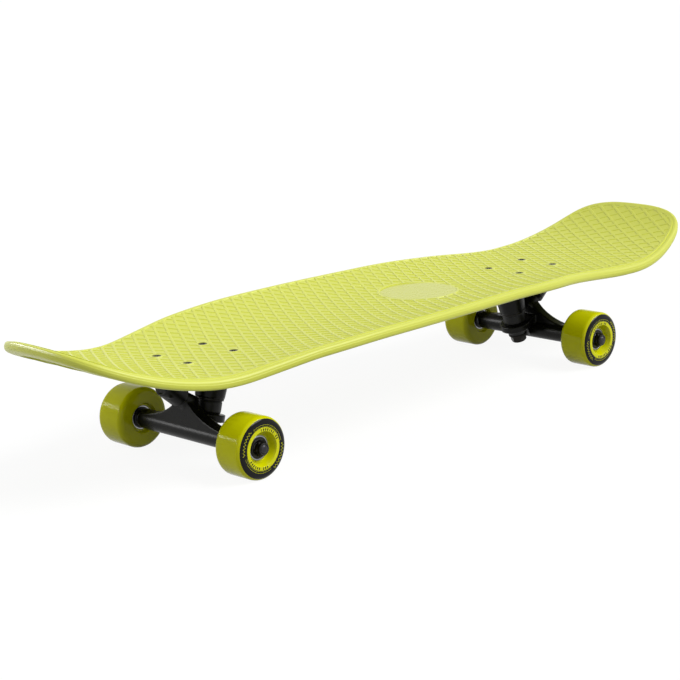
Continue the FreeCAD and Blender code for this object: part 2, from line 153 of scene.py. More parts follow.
def surface(name, metallic, roughness, specular=0.5, ior=1.5):
    """A new material with one Principled shader, and its node tree."""
    material = bpy.data.materials.new(name)
    material.use_nodes = True
    tree = material.node_tree
    tree.nodes.clear()
    shader = add(tree, "ShaderNodeBsdfPrincipled", {"Metallic": metallic, "Roughness": roughness, "IOR": ior,
                                                    "Specular IOR Level": specular})
    add(tree, "ShaderNodeOutputMaterial", {"Surface": shader.outputs[0]})
    return material, tree, shader


def grain(tree, shader, size, low, high, height, roughness, detail=3.0):
    """Feeds colour, roughness and bump from one noise whose lumps are about size across."""
    place = add(tree, "ShaderNodeTexCoord")
    noise = add(tree, "ShaderNodeTexNoise", {"Vector": place.outputs["Object"], "Scale": 0.5 / size,
                                             "Detail": detail, "Roughness": 0.55})
    tint = add(tree, "ShaderNodeMix", {"Factor": noise.outputs[0], 6: low, 7: high}, data_type="RGBA")
    tree.links.new(tint.outputs[2], shader.inputs["Base Color"])
    rough = add(tree, "ShaderNodeMapRange", {0: noise.outputs[0], 1: 0.3, 2: 0.7, 3: roughness[0],
                                             4: roughness[1]})
    tree.links.new(rough.outputs[0], shader.inputs["Roughness"])
    bump = add(tree, "ShaderNodeBump", {"Height": noise.outputs[0], "Distance": height, "Strength": 1.0})
    tree.links.new(bump.outputs[0], shader.inputs["Normal"])
    return place, noise, tint, bump


def moulded_polypropylene(settings):
    """Injection-moulded polypropylene: a waxy satin, with a fine spark-eroded texture of about 0.6 mm, whose
    hollows are painted darker as shade.
    """
    material, tree, shader = surface("polypropylene_moulded_satin", 0.0, 0.4, 0.45, 1.49)
    # the darker colour goes where the grain's bump is low: painted shade in the texture's hollows
    grain(tree, shader, 0.6 * MM, settings.plastic_painted_shade, settings.plastic, 0.05 * MM, (0.34, 0.44))
    return material


def polished_polypropylene(settings):
    """The same plastic off a polished patch of the mould: smoother, so that it shows paler at a low angle."""
    material, tree, shader = surface("polypropylene_moulded_polished", 0.0, 0.28, 0.25, 1.49)
    even = [c * 0.88 for c in settings.plastic[:3]] + [1.0]
    grain(tree, shader, 4.0 * MM, even, even, 0.02 * MM, (0.24, 0.3))
    return material


def cast_urethane(settings):
    """Cast polyurethane, turned on a lathe: glossy, with a faint mottle about 7 mm across."""
    material, tree, shader = surface("urethane_cast_turned", 0.0, 0.06, 0.1, 1.5)
    place, noise, tint, bump = grain(tree, shader, 7.0 * MM, settings.urethane_deep, settings.urethane,
                                     0.01 * MM, (0.05, 0.08))
    return material


def printed_urethane(settings):
    """The wheel's outer face: a black printed ring with pinstripes, and a bare lip, painted paler as a highlight,
    with short black ticks.

    The face's own map gives the turn in U (0 to 1, clockwise from the top) and the radius in V (per 30 mm).
    """
    material, tree, shader = surface("urethane_cast_pad_printed", 0.0, 0.14, 0.16, 1.5)
    place = add(tree, "ShaderNodeUVMap", uv_map="face")
    split = add(tree, "ShaderNodeSeparateXYZ", {0: place.outputs[0]})
    turn = split.outputs[0]
    radius = add(tree, "ShaderNodeMath", {0: split.outputs[1], 1: 30.0}, operation="MULTIPLY").outputs[0]

    def between(value, low, high):
        above = add(tree, "ShaderNodeMath", {0: value, 1: low}, operation="GREATER_THAN")
        below = add(tree, "ShaderNodeMath", {0: value, 1: high}, operation="LESS_THAN")
        return add(tree, "ShaderNodeMath", {0: above.outputs[0], 1: below.outputs[0]},
                   operation="MULTIPLY").outputs[0]

    def either(*masks):
        total = masks[0]
        for mask in masks[1:]:
            total = add(tree, "ShaderNodeMath", {0: total, 1: mask}, operation="MAXIMUM").outputs[0]
        return total

    def both(*masks):
        total = masks[0]
        for mask in masks[1:]:
            total = add(tree, "ShaderNodeMath", {0: total, 1: mask}, operation="MULTIPLY").outputs[0]
        return total

    def arc(start, end):
        return between(turn, start / 360.0, end / 360.0)

    ring_inner = settings.ring_inner / MM
    ring_outer = settings.ring_outer / MM
    ring = between(radius, ring_inner, ring_outer)
    # two pairs of pinstripes, each over the quarter turn between the zigzag bands
    lined = either(arc(0.0, 82.0), arc(158.0, 258.0), arc(330.0, 360.0))
    stripes = both(lined, either(between(radius, 21.0, 21.22), between(radius, 19.45, 19.65)))
    # zigzag bands, one stroke to each 3.75 degrees
    teeth = add(tree, "ShaderNodeMath", {0: turn, 1: 96.0}, operation="MULTIPLY")
    wave = add(tree, "ShaderNodeMath", {0: teeth.outputs[0], 1: 1.0}, operation="PINGPONG")
    swing = add(tree, "ShaderNodeMath", {0: wave.outputs[0], 1: 2.4, 2: 21.2}, operation="MULTIPLY_ADD")
    gap = add(tree, "ShaderNodeMath", {0: radius, 1: swing.outputs[0]}, operation="SUBTRACT")
    near = add(tree, "ShaderNodeMath", {0: gap.outputs[0]}, operation="ABSOLUTE")
    thin = add(tree, "ShaderNodeMath", {0: near.outputs[0], 1: 0.26}, operation="LESS_THAN").outputs[0]
    zigzag = both(thin, either(arc(88.0, 150.0), arc(265.0, 324.0)))
    # short ticks on the lip, long and short in turn
    beat = add(tree, "ShaderNodeMath", {0: turn, 1: 44.0}, operation="MULTIPLY")
    share = add(tree, "ShaderNodeMath", {0: beat.outputs[0]}, operation="FRACT").outputs[0]
    slow = add(tree, "ShaderNodeMath", {0: turn, 1: 13.0}, operation="MULTIPLY")
    slow_share = add(tree, "ShaderNodeMath", {0: slow.outputs[0]}, operation="FRACT").outputs[0]
    tick_arcs = either(arc(0.0, 74.0), arc(166.0, 247.0), arc(353.0, 360.0))
    tick_band = between(radius, 16.0, 18.2)
    ticks = both(tick_arcs, tick_band, between(share, 0.22, 0.7), between(slow_share, 0.0, 0.86))
    inked = either(both(ring, add(tree, "ShaderNodeMath", {0: 1.0, 1: either(stripes, zigzag)},
                                  operation="SUBTRACT").outputs[0]), ticks)
    noise = add(tree, "ShaderNodeTexNoise", {"Vector": add(tree, "ShaderNodeTexCoord").outputs["Object"],
                                             "Scale": 0.5 / (6 * MM), "Detail": 2.0})
    # the bare urethane is mottled towards the lip's paler colour, a painted highlight on the outer face
    bare = add(tree, "ShaderNodeMix", {"Factor": noise.outputs[0], 6: settings.urethane,
                                       7: settings.lip}, data_type="RGBA")
    paint = add(tree, "ShaderNodeMix", {"Factor": inked, 6: bare.outputs[2], 7: settings.print_ink},
                data_type="RGBA")
    tree.links.new(paint.outputs[2], shader.inputs["Base Color"])
    # the ink lies a few hundredths of a millimetre proud of the urethane
    bump = add(tree, "ShaderNodeBump", {"Height": inked, "Distance": 0.03 * MM, "Strength": 0.6})
    tree.links.new(bump.outputs[0], shader.inputs["Normal"])
    return material


def powder_coat(settings):
    """Black powder coat on cast aluminium: satin, with an orange-peel ripple of about 1.5 mm."""
    material, tree, shader = surface("powder_coat_black_satin", 0.0, 0.3, 0.13, 1.5)
    dark = [c * 0.75 for c in settings.paint[:3]] + [1.0]
    grain(tree, shader, 1.5 * MM, dark, settings.paint, 0.04 * MM, (0.26, 0.34))
    return material


def blackened_steel(settings):
    """Black-oxide steel: dark grey with a dull metal sheen and fine turned scratches."""
    material, tree, shader = surface("steel_black_oxide", 1.0, 0.38)
    pale = [c * 1.5 for c in settings.oxide[:3]] + [1.0]
    grain(tree, shader, 0.8 * MM, settings.oxide, pale, 0.02 * MM, (0.32, 0.46))
    return material


def zinc_steel(settings):
    """Bright zinc-plated steel of the axle's threaded ends: dull grey, lightly hazed."""
    material, tree, shader = surface("steel_zinc_plated", 1.0, 0.3)
    grain(tree, shader, 1.0 * MM, linear("#2F2F31"), linear("#424245"), 0.01 * MM, (0.26, 0.38))
    return material


def bearing_steel(settings):
    """Ground chrome steel of the bearing rings: bright, with fine grinding haze."""
    material, tree, shader = surface("steel_chrome_ground", 1.0, 0.2)
    grain(tree, shader, 0.6 * MM, linear("#7C7D80"), linear("#97989B"), 0.004 * MM, (0.16, 0.26))
    return material


def shield_rubber(settings):
    """Black nitrile over the bearing's steel shield: soft satin with a fine moulded grain."""
    material, tree, shader = surface("nitrile_moulded_black", 0.0, 0.45, 0.35, 1.52)
    grain(tree, shader, 0.5 * MM, linear("#0B0B0B"), linear("#151515"), 0.03 * MM, (0.4, 0.55))
    return material


def bushing_urethane(settings):
    """Black cast urethane of the bushings: slightly waxy, softly mottled."""
    material, tree, shader = surface("urethane_cast_black", 0.0, 0.4, 0.2, 1.5)
    grain(tree, shader, 2.5 * MM, linear("#0E0E0D"), linear("#1A1A18"), 0.03 * MM, (0.34, 0.5))
    return material


def nylon_insert(settings):
    """Dull grey-black nylon of the lock nut's insert and of the pivot cup."""
    material, tree, shader = surface("nylon_moulded_dark", 0.0, 0.5, 0.4, 1.53)
    grain(tree, shader, 0.8 * MM, linear("#1D1D1E"), linear("#2A2A2B"), 0.02 * MM, (0.45, 0.6))
    return material


made = {}


def finish_of(maker, settings):
    """The material that a maker gives, made once."""
    if maker.__name__ not in made:
        made[maker.__name__] = maker(settings)
    return made[maker.__name__]


# ---------------------------------------------------------------- meshes

def new_piece(name, points, faces, body, replaced, materials, parts=None, sharp=35.0, turn_map=None):
    """Puts arrays of points and faces into a mesh object that rides on a body and stands for CAD nodes.

    Points that coincide are merged, which closes seams and poles, and the normals are turned outwards.
    parts gives each face's material number, and turn_map each face corner's (U, V).
    """
    mesh = bpy.data.meshes.new(name)
    mesh.from_pydata(np.asarray(points).tolist(), [], [f for block in faces for f in block.tolist()])
    if parts is not None:
        mesh.polygons.foreach_set("material_index", np.asarray(parts, np.int32))
    if turn_map is not None:
        layer = mesh.uv_layers.new(name="face")
        layer.data.foreach_set("uv", np.asarray(turn_map, np.float32).ravel())
    shape = bmesh.new()
    shape.from_mesh(mesh)
    bmesh.ops.remove_doubles(shape, verts=shape.verts, dist=3e-6)
    bmesh.ops.recalc_face_normals(shape, faces=shape.faces)
    shape.to_mesh(mesh)
    shape.free()
    for material in materials:
        mesh.materials.append(material)
    mesh.shade_smooth()
    mesh.set_sharp_from_angle(angle=math.radians(sharp))
    piece = bpy.data.objects.new(name, mesh)
    bpy.context.scene.collection.objects.link(piece)
    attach(piece, body)
    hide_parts(*replaced)
    return piece


def band_faces(rows, columns, closed_rows=False):
    """Quads of a grid of rows x columns that closes on itself along its columns, and if asked its rows."""
    i = np.arange(rows if closed_rows else rows - 1)[:, None]
    j = np.arange(columns)[None, :]
    next_i, next_j = (i + 1) % rows, (j + 1) % columns
    corners = [i * columns + j, next_i * columns + j, next_i * columns + next_j, i * columns + next_j]
    return np.stack([np.broadcast_to(c, (len(i), columns)) for c in corners], axis=-1).reshape(-1, 4)


def turned(radii, heights, steps, foot, axis, shape=None):
    """Points of a turned surface: foot + height * axis + radius * (sin t * side + cos t * up).

    radii and heights run along the profile; t runs clockwise round the axis as seen from its tip. shape,
    if given, is a function of (radius, height, t) arrays that returns the radii and heights to use.
    """
    axis = np.asarray(axis, float) / np.linalg.norm(axis)
    up = np.array([0.0, 0.0, 1.0]) if abs(axis[2]) < 0.9 else np.array([0.0, 1.0, 0.0])
    side = np.cross(up, axis)
    side /= np.linalg.norm(side)
    up = np.cross(axis, side)
    t = np.arange(steps) * 2.0 * math.pi / steps
    radius, turn = np.meshgrid(np.asarray(radii, float), t, indexing="ij")
    height = np.broadcast_to(np.asarray(heights, float)[:, None], radius.shape)
    if shape is not None:
        radius, height = shape(radius, height, turn)
    points = (np.asarray(foot)[None, None, :] + height[..., None] * axis
              + radius[..., None] * (np.sin(turn)[..., None] * side + np.cos(turn)[..., None] * up))
    return points.reshape(-1, 3)


def rounded(corners, steps=6):
    """A path through (x, y, round) corners, each corner turned into an arc-like curve of its round.

    The arc is the quadratic curve from one tangent point to the other with the corner as its middle point.
    """
    corners = np.asarray(corners, float)
    path = []
    for before, here, after in zip(np.roll(corners, 1, 0), corners, np.roll(corners, -1, 0)):
        if here[2] <= 0:
            path.append(here[None, :2])
            continue
        back = (before - here)[:2] / np.linalg.norm((before - here)[:2])
        ahead = (after - here)[:2] / np.linalg.norm((after - here)[:2])
        half = math.acos(float(np.clip(back @ ahead, -1, 1))) / 2
        middle = (back + ahead) / np.linalg.norm(back + ahead)
        centre = here[:2] + middle * here[2] / math.sin(half)
        first = here[:2] + back * here[2] / math.tan(half) - centre
        last = here[:2] + ahead * here[2] / math.tan(half) - centre
        start = math.atan2(first[1], first[0])
        sweep = (math.atan2(last[1], last[0]) - start + math.pi) % (2 * math.pi) - math.pi
        angles = start + sweep * np.linspace(0, 1, steps)
        path.append(centre + here[2] * np.stack([np.cos(angles), np.sin(angles)], -1))
    return np.concatenate(path)


# ---------------------------------------------------------------- deck

# The rim's section from the border rib outwards and round to the underside: (inset, height), in mm
RIM = np.array([
    (6.4, 0.0), (6.26, -0.1), (6.1, -0.95), (5.95, -1.16), (5.6, -1.22), (5.0, -1.12), (4.2, -1.05),
    (3.4, -1.12), (2.6, -1.4), (1.9, -1.86), (1.3, -2.48), (0.85, -3.15), (0.55, -3.85), (0.4, -4.5),
    (0.34, -4.8), (0.16, -5.0), (0.05, -5.3), (0.0, -5.9), (0.0, -7.4), (0.12, -8.2), (0.45, -8.95),
    (1.0, -9.5), (1.8, -9.88), (2.8, -10.0), (7.5, -10.0), (12.2, -10.0),
])


def truck_centre(end):
    """The middle of a truck's bolt pattern, at the height of its bolt heads."""
    low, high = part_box(end + "_deck_bolts")
    return (low[0] + high[0]) / 2, high[2]


def smooth_step(t):
    """0 below 0, 1 above 1, and 3 t^2 - 2 t^3 between."""
    t = np.clip(t, 0.0, 1.0)
    return t * t * (3.0 - 2.0 * t)


def kick(distance, radius):
    """Rise of a circular bend: the radius less the upright leg of a right triangle on it."""
    reach = np.clip(distance, 0.0, 0.95 * radius)
    return radius - np.sqrt(radius * radius - reach * reach)


def deck_height(x, y):
    """The deck's upper face: a gentle arch between the trucks, two circular kicks, and sides dished as y^2."""
    front, head = truck_centre("front")
    rear = truck_centre("rear")[0]
    rise = 2.4 * MM * smooth_step((x - front - 20 * MM) / (120 * MM))
    rise = rise * smooth_step((rear - 20 * MM - x) / (120 * MM))
    rise = rise + kick(-251 * MM - x, 315 * MM) + kick(x - 289 * MM, 225 * MM)
    dish = 10 * MM * smooth_step((x - front) / (123 * MM) + 0.5)
    dish = dish * smooth_step((rear + 11 * MM - x) / (108 * MM) + 0.5)
    return head + rise + dish * (y / (105 * MM)) ** 2


def outline_loop(count):
    """Points evenly spaced round the deck's outline, and the inward normal at each.

    One side is a cubic spline through the half widths, with chord lengths as its stations and square to
    the middle line at both tips; its slopes solve the equations that make its curvature continuous.
    """
    low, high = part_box("deck")
    reach = (high[0] - low[0]) / 2
    points = np.array([(-reach, 0.0)] + [(s * reach, -w * MM) for s, w in OUTLINE] + [(reach, 0.0)])
    span = np.linalg.norm(np.diff(points, axis=0), axis=1)
    chord = np.diff(points, axis=0) / span[:, None]
    n = len(points)
    system = np.eye(n)
    inner = np.arange(1, n - 1)
    system[inner, inner - 1] = span[1:]
    system[inner, inner] = 2 * (span[:-1] + span[1:])
    system[inner, inner + 1] = span[:-1]
    right = np.zeros((n, 2))
    right[0], right[-1] = (0.0, -1.0), (0.0, 1.0)
    right[1:-1] = 3 * (span[1:, None] * chord[:-1] + span[:-1, None] * chord[1:])
    slope = np.linalg.solve(system, right)
    t = np.linspace(0, 1, 200, endpoint=False)[None, :, None]
    a, b, h = points[:-1, None], points[1:, None], span[:, None, None]
    curve = (a * (2 * t**3 - 3 * t**2 + 1) + b * (3 * t**2 - 2 * t**3)
             + h * slope[:-1, None] * (t**3 - 2 * t**2 + t) + h * slope[1:, None] * (t**3 - t**2))
    curve = np.concatenate([curve.reshape(-1, 2), points[-1:]])
    gone = np.concatenate([[0.0], np.cumsum(np.linalg.norm(np.diff(curve, axis=0), axis=1))])
    even = np.linspace(0, gone[-1], count // 2 + 1)
    left = np.stack([np.interp(even, gone, curve[:, 0]), np.interp(even, gone, curve[:, 1])], -1)
    loop = np.concatenate([left[:-1], left[:0:-1] * (1.0, -1.0)])
    tangent = np.roll(loop, -1, 0) - np.roll(loop, 1, 0)
    tangent /= np.linalg.norm(tangent, axis=1)[:, None]
    return loop, np.stack([-tangent[:, 1], tangent[:, 0]], -1)


def distance_to(loop, points):
    """Distance from each point to a closed polyline: the least over its runs of the distance to the run."""
    start, run = loop, np.roll(loop, -1, 0) - loop
    squared = (run**2).sum(-1)
    least = []
    for block in np.array_split(points, max(1, len(points) // 1500)):
        offset = block[:, None, :] - start[None]
        share = np.clip((offset * run).sum(-1) / squared, 0, 1)
        least.append(np.sqrt(((offset - share[..., None] * run) ** 2).sum(-1)).min(1))
    return np.concatenate(least)


def circle(x, y, radius, count):
    """Points evenly round a circle."""
    t = np.arange(count) * 2 * math.pi / count
    return np.stack([x + radius * np.cos(t), y + radius * np.sin(t)], -1)


def lines_inside(normal, offsets, loops):
    """The runs of the lines normal . p = offset that lie inside the loops, by the even-odd rule."""
    start = np.concatenate(loops)
    end = np.concatenate([np.roll(loop, -1, 0) for loop in loops])
    normal = np.asarray(normal, float)
    along = np.array([-normal[1], normal[0]])
    before, after = start @ normal, end @ normal
    runs = []
    for offset in offsets:
        cut = (before < offset) != (after < offset)
        share = (offset - before[cut]) / (after[cut] - before[cut])
        points = start[cut] + share[:, None] * (end[cut] - start[cut])
        runs.append(points[np.argsort(points @ along)].reshape(-1, 2, 2))
    runs = np.concatenate(runs)
    return runs[np.linalg.norm(runs[:, 1] - runs[:, 0], axis=1) > 0.05 * MM]


def triangulated(border, loops, runs):
    """Plan points and triangles of the area inside a border, with an edge along every loop and run."""
    points = np.concatenate([border] + loops + [runs.reshape(-1, 2)])
    edges, first = [], len(border)
    for loop in loops:
        k = np.arange(len(loop))
        edges.append(np.stack([first + k, first + (k + 1) % len(loop)], -1))
        first += len(loop)
    edges.append(first + np.arange(2 * len(runs)).reshape(-1, 2))
    result = delaunay_2d_cdt(points.tolist(), np.concatenate(edges).tolist(), [list(range(len(border)))],
                             1, 1e-7)
    return np.array([tuple(p) for p in result[0]]), np.array([list(f) for f in result[2]])


def bolt_places():
    """The eight bolt centres: (x, y)."""
    places = []
    for end in ENDS:
        x = truck_centre(end)[0]
        places += [(x + sx * 26.99 * MM, sy * 20.64 * MM) for sx in (-1, 1) for sy in (-1, 1)]
    return places


def deck_upper(loop, inward, settings):
    """The upper face inside the rim: deck_height less the pockets.

    A pocket's depth is pocket_depth * clamp(s / wall_run), s being the distance past the nearest of the
    diagonal ribs, the border rib, the round pad's rib and the bolt bosses. The pad is level.
    """
    border_in = RIM[0, 0] * MM
    border = border_in + settings.border_rib
    rib = settings.rib_width
    wall = settings.wall_run
    pad_x, pad_radius, pad_z = 55 * MM, 38 * MM, truck_centre("front")[1] + 2.6 * MM
    boss = 6.2 * MM
    edge = loop + inward * border
    foot = loop + inward * (border + wall)
    bolts = bolt_places()
    stops = [edge, circle(pad_x, 0, pad_radius + 0.3 * MM + rib, 120)]
    stops += [circle(x, y, boss, 40) for x, y in bolts]
    loops = stops + [foot]
    loops += [circle(pad_x, 0, pad_radius + step, 120) for step in (0.0, 0.3 * MM, 0.3 * MM + rib + wall)]
    loops += [circle(x, y, r, 40) for x, y in bolts for r in (4.1 * MM, 4.25 * MM, boss + wall)]
    gradient = np.array([1 / settings.cell_along, 1 / settings.cell_across])
    pitch = 1 / np.linalg.norm(gradient)
    normals = [gradient * pitch, gradient * pitch * (1, -1)]
    count = int(0.45 / pitch)
    offsets = np.array([k * pitch + side for k in range(-count, count + 1)
                        for side in (-rib / 2 - wall, -rib / 2, rib / 2, rib / 2 + wall)])
    runs = np.concatenate([lines_inside(normal, offsets, stops) for normal in normals])
    plan, triangles = triangulated(loop + inward * border_in, loops, runs)
    past = distance_to(loop, plan) - border
    for normal in normals:
        place = plan @ normal / pitch
        past = np.minimum(past, np.abs(place - np.round(place)) * pitch - rib / 2)
    from_pad = np.linalg.norm(plan - (pad_x, 0), axis=1)
    past = np.minimum(past, from_pad - pad_radius - 0.3 * MM - rib)
    for x, y in bolts:
        past = np.minimum(past, np.linalg.norm(plan - (x, y), axis=1) - boss)
    z = deck_height(plan[:, 0], plan[:, 1]) - settings.pocket_depth * np.clip(past / wall, 0, 1)
    z = np.where(from_pad < pad_radius + 0.15 * MM, pad_z, z)
    for x, y in bolts:
        z = np.where(np.linalg.norm(plan - (x, y), axis=1) < 4.17 * MM, z - 3.4 * MM, z)
    middle = plan[triangles].mean(1)
    smooth = np.linalg.norm(middle - (pad_x, 0), axis=1) < pad_radius
    return np.column_stack([plan, z]), triangles, smooth


def deck_lower(loop, inward):
    """The underside inside the rim: 5 mm under the upper face in its pockets, 10 mm at its ribs.

    The two truck seats are level. Walls lean 0.4 mm from top to floor.
    """
    wall = 0.4 * MM
    half_rib = 1.5 * MM
    head = truck_centre("front")[1]
    edge = loop + inward * 13.0 * MM
    foot = loop + inward * 13.4 * MM
    seats = [truck_centre(end)[0] for end in ENDS]
    boxes = []
    for x in seats:
        for grow in (0.0, wall):
            a, b = 43 * MM + grow, 31 * MM + grow
            boxes.append(np.array([(x - a, -b), (x + a, -b), (x + a, b), (x - a, b)]))
    pitch, ribs_y = 45 * MM, np.array([-36.0, 0.0, 36.0]) * MM
    ribs_x = np.arange(-8, 9) * pitch
    sides = np.array([-half_rib - wall, -half_rib, half_rib, half_rib + wall])
    across = np.concatenate([(ribs_x[:, None] + sides).ravel(), np.arange(-45, 46) * 9.0 * MM + 4.5 * MM])
    lengthwise = np.concatenate([(ribs_y[:, None] + sides).ravel(), np.arange(-8, 9) * 12.0 * MM + 6 * MM])
    runs = np.concatenate([lines_inside((1, 0), across, [edge]), lines_inside((0, 1), lengthwise, [edge])])
    plan, triangles = triangulated(loop + inward * 12.2 * MM, [edge, foot] + boxes, runs)
    past = distance_to(loop, plan) - 13.0 * MM
    past = np.minimum(past, np.abs(plan[:, :1] - ribs_x).min(1) - half_rib)
    past = np.minimum(past, np.abs(plan[:, 1:] - ribs_y).min(1) - half_rib)
    z = deck_height(plan[:, 0], plan[:, 1]) - 10 * MM + 5 * MM * np.clip(past / wall, 0, 1)
    for x in seats:
        on_seat = (np.abs(plan[:, 0] - x) < 43.1 * MM) & (np.abs(plan[:, 1]) < 31.1 * MM)
        z = np.where(on_seat, head - 10 * MM, z)
    return np.column_stack([plan, z]), triangles[:, ::-1]


class SKATEBOARD_OT_deck(bpy.types.Operator):
    """Make the moulded deck: waffle of diamond pockets, rounded rim, level pad and ribbed underside"""
    bl_idname = "skateboard.make_deck"
    bl_label = "Make Deck"

    def execute(self, context):
        settings = context.scene.skateboard_deck
        loop, inward = outline_loop(settings.steps)
        upper, upper_faces, pad = deck_upper(loop, inward, settings)
        lower, lower_faces = deck_lower(loop, inward)
        # the rim is its section carried round the outline, its heights counted from deck_height
        inset = RIM[:, 0, None, None] * MM
        plan = loop[None] + inward[None] * inset
        z = deck_height(plan[..., 0], plan[..., 1]) + RIM[:, 1, None] * MM
        rim = np.concatenate([plan, z[..., None]], -1).reshape(-1, 3)
        rim_faces = band_faces(len(RIM), len(loop))
        points = np.concatenate([upper, lower, rim])
        faces = [upper_faces, lower_faces + len(upper), rim_faces + len(upper) + len(lower)]
        parts = np.concatenate([pad.astype(int), np.zeros(len(lower_faces) + len(rim_faces), int)])
        new_piece("deck_board", points, faces, "board", ["deck"],
                  [finish_of(moulded_polypropylene, settings), finish_of(polished_polypropylene, settings)],
                  parts, sharp=28.0)
        return {"FINISHED"}


class SKATEBOARD_OT_deck_bolts(bpy.types.Operator):
    """Make the flat-head deck bolts, each with a cross recess in its head"""
    bl_idname = "skateboard.make_deck_bolts"
    bl_label = "Make Deck Bolts"

    def execute(self, context):
        settings = context.scene.skateboard_truck
        steel = finish_of(blackened_steel, settings)
        steps = 48
        for end in ENDS:
            low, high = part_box(end + "_deck_bolts")
            top, bottom = high[2], low[2]
            head = np.linspace(0.0, 3.8, 12)
            radii = np.concatenate([head, [4.0, 4.0, 2.4, 2.4, 2.1, 0.0]]) * MM
            heights = np.concatenate([np.full(12, top), [top - 0.2 * MM, top - 0.4 * MM, top - 3.0 * MM,
                                                         bottom + 0.4 * MM, bottom, bottom]])

            def recess(radius, height, turn):
                """A cross pressed 1.9 mm into the head: full depth on two arms 1.1 mm wide, none past 2.5 mm."""
                x, y = radius * np.sin(turn), radius * np.cos(turn)
                arm = np.minimum(np.abs(x), np.abs(y))
                inside = np.clip((0.75 * MM - arm) / (0.25 * MM), 0, 1) * np.clip((2.5 * MM - radius)
                                                                                 / (0.4 * MM), 0, 1)
                on_top = height > top - 0.1 * MM
                return radius, height - 1.9 * MM * inside * on_top

            points, faces = [], []
            centre = (low[0] + high[0]) / 2
            for k, (sx, sy) in enumerate([(-1, -1), (-1, 1), (1, -1), (1, 1)]):
                foot = (centre + sx * 26.99 * MM, sy * 20.64 * MM, 0.0)
                points.append(turned(radii, heights, steps, foot, (0, 0, 1), recess))
                faces.append(band_faces(len(radii), steps) + k * len(radii) * steps)
            new_piece(end + "_bolts", np.concatenate(points), faces, "board",
                      [end + "_deck_bolts"], [steel])
        return {"FINISHED"}


# ---------------------------------------------------------------- wheels

def wheel_places():
    """Each wheel's name, body, inner-face centre and outward direction."""
    for end in ENDS:
        for side, sign in SIDES.items():
            low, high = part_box(end + "_" + side + "_wheel")
            inner_y = high[1] if sign < 0 else low[1]
            centre = ((low[0] + high[0]) / 2, inner_y, (low[2] + high[2]) / 2)
            yield end, side, centre, (0.0, sign, 0.0)


class SKATEBOARD_OT_wheels(bpy.types.Operator):
    """Make the four cast wheels: rounded tread, printed ring, raised lip and cone down to the bearing"""
    bl_idname = "skateboard.make_wheels"
    bl_label = "Make Wheels"

    def execute(self, context):
        settings = context.scene.skateboard_wheel
        plain = finish_of(cast_urethane, settings)
        printed = finish_of(printed_urethane, settings)
        # where each wheel happened to stop
        stopped = {"front_left": 0.0, "rear_left": -45.0, "front_right": 70.0, "rear_right": 130.0}
        rise = settings.lip_rise / MM
        ring = settings.ring_inner / MM
        for end, side, centre, outward in wheel_places():
            low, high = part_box(end + "_" + side + "_wheel")
            radius = (high[2] - low[2]) / 2 / MM
            width = (high[1] - low[1]) / MM
            face = width - rise
            # section as (radius, distance from the inner face, round), in mm
            corners = [(12.65, 3.0, 0.3), (14.0, 0.0, 0.8), (radius, 0.0, 5.4), (radius, face, 5.4),
                       (ring, face, 0.12), (ring - 0.15, width, 0.25), (15.5, width, 0.5),
                       (12.1, width - 6.0, 0.4), (11.02, width - 6.0, 0.0), (11.02, width - 13.0, 0.0),
                       (9.0, width - 13.0, 0.0), (9.0, 10.0, 0.0), (11.02, 10.0, 0.0), (11.02, 3.0, 0.0)]
            path = rounded(corners, 12)
            # extra rings keep the printed ring's two edges sharp
            outer = settings.ring_outer / MM
            k = int(np.argmax((path[:-1, 0] > outer) & (path[1:, 0] <= outer) & (path[1:, 1] > width / 2)))
            share = (path[k, 0] - outer) / (path[k, 0] - path[k + 1, 0])
            path = np.insert(path, k + 1, path[k] + share * (path[k + 1] - path[k]), axis=0)
            steps = settings.steps
            points = turned(path[:, 0] * MM, path[:, 1] * MM, steps, centre, outward)
            faces = band_faces(len(path), steps, closed_rows=True)
            rows = np.arange(len(path))
            ahead = np.roll(path, -1, 0)
            on_face = (path[:, 0] <= outer + 1e-6) & (ahead[:, 0] >= 15.0) & (path[:, 1] > width / 2)
            on_face &= (ahead[:, 1] > width / 2)
            parts = np.repeat(on_face.astype(int), steps)
            # U is the turn clockwise from the top, moved on by where the wheel stopped; V the radius
            u = ((np.arange(steps) + 0.0) / steps - stopped[end + "_" + side] / 360.0) % 1.0
            u_next = u + 1.0 / steps
            r, r_next = path[:, 0] / 30.0, ahead[:, 0] / 30.0
            corner_u = np.stack([u, u, u_next, u_next], -1)[None].repeat(len(path), 0)
            corner_v = np.stack([r, r_next, r_next, r], -1)[:, None].repeat(steps, 1)
            turn_map = np.stack([corner_u, corner_v], -1).reshape(-1, 2)
            new_piece(end + "_" + side + "_tyre", points, [faces], end + "_" + side + "_wheel",
                      [end + "_" + side + "_wheel"], [plain, printed], parts, 30.0, turn_map)
        return {"FINISHED"}


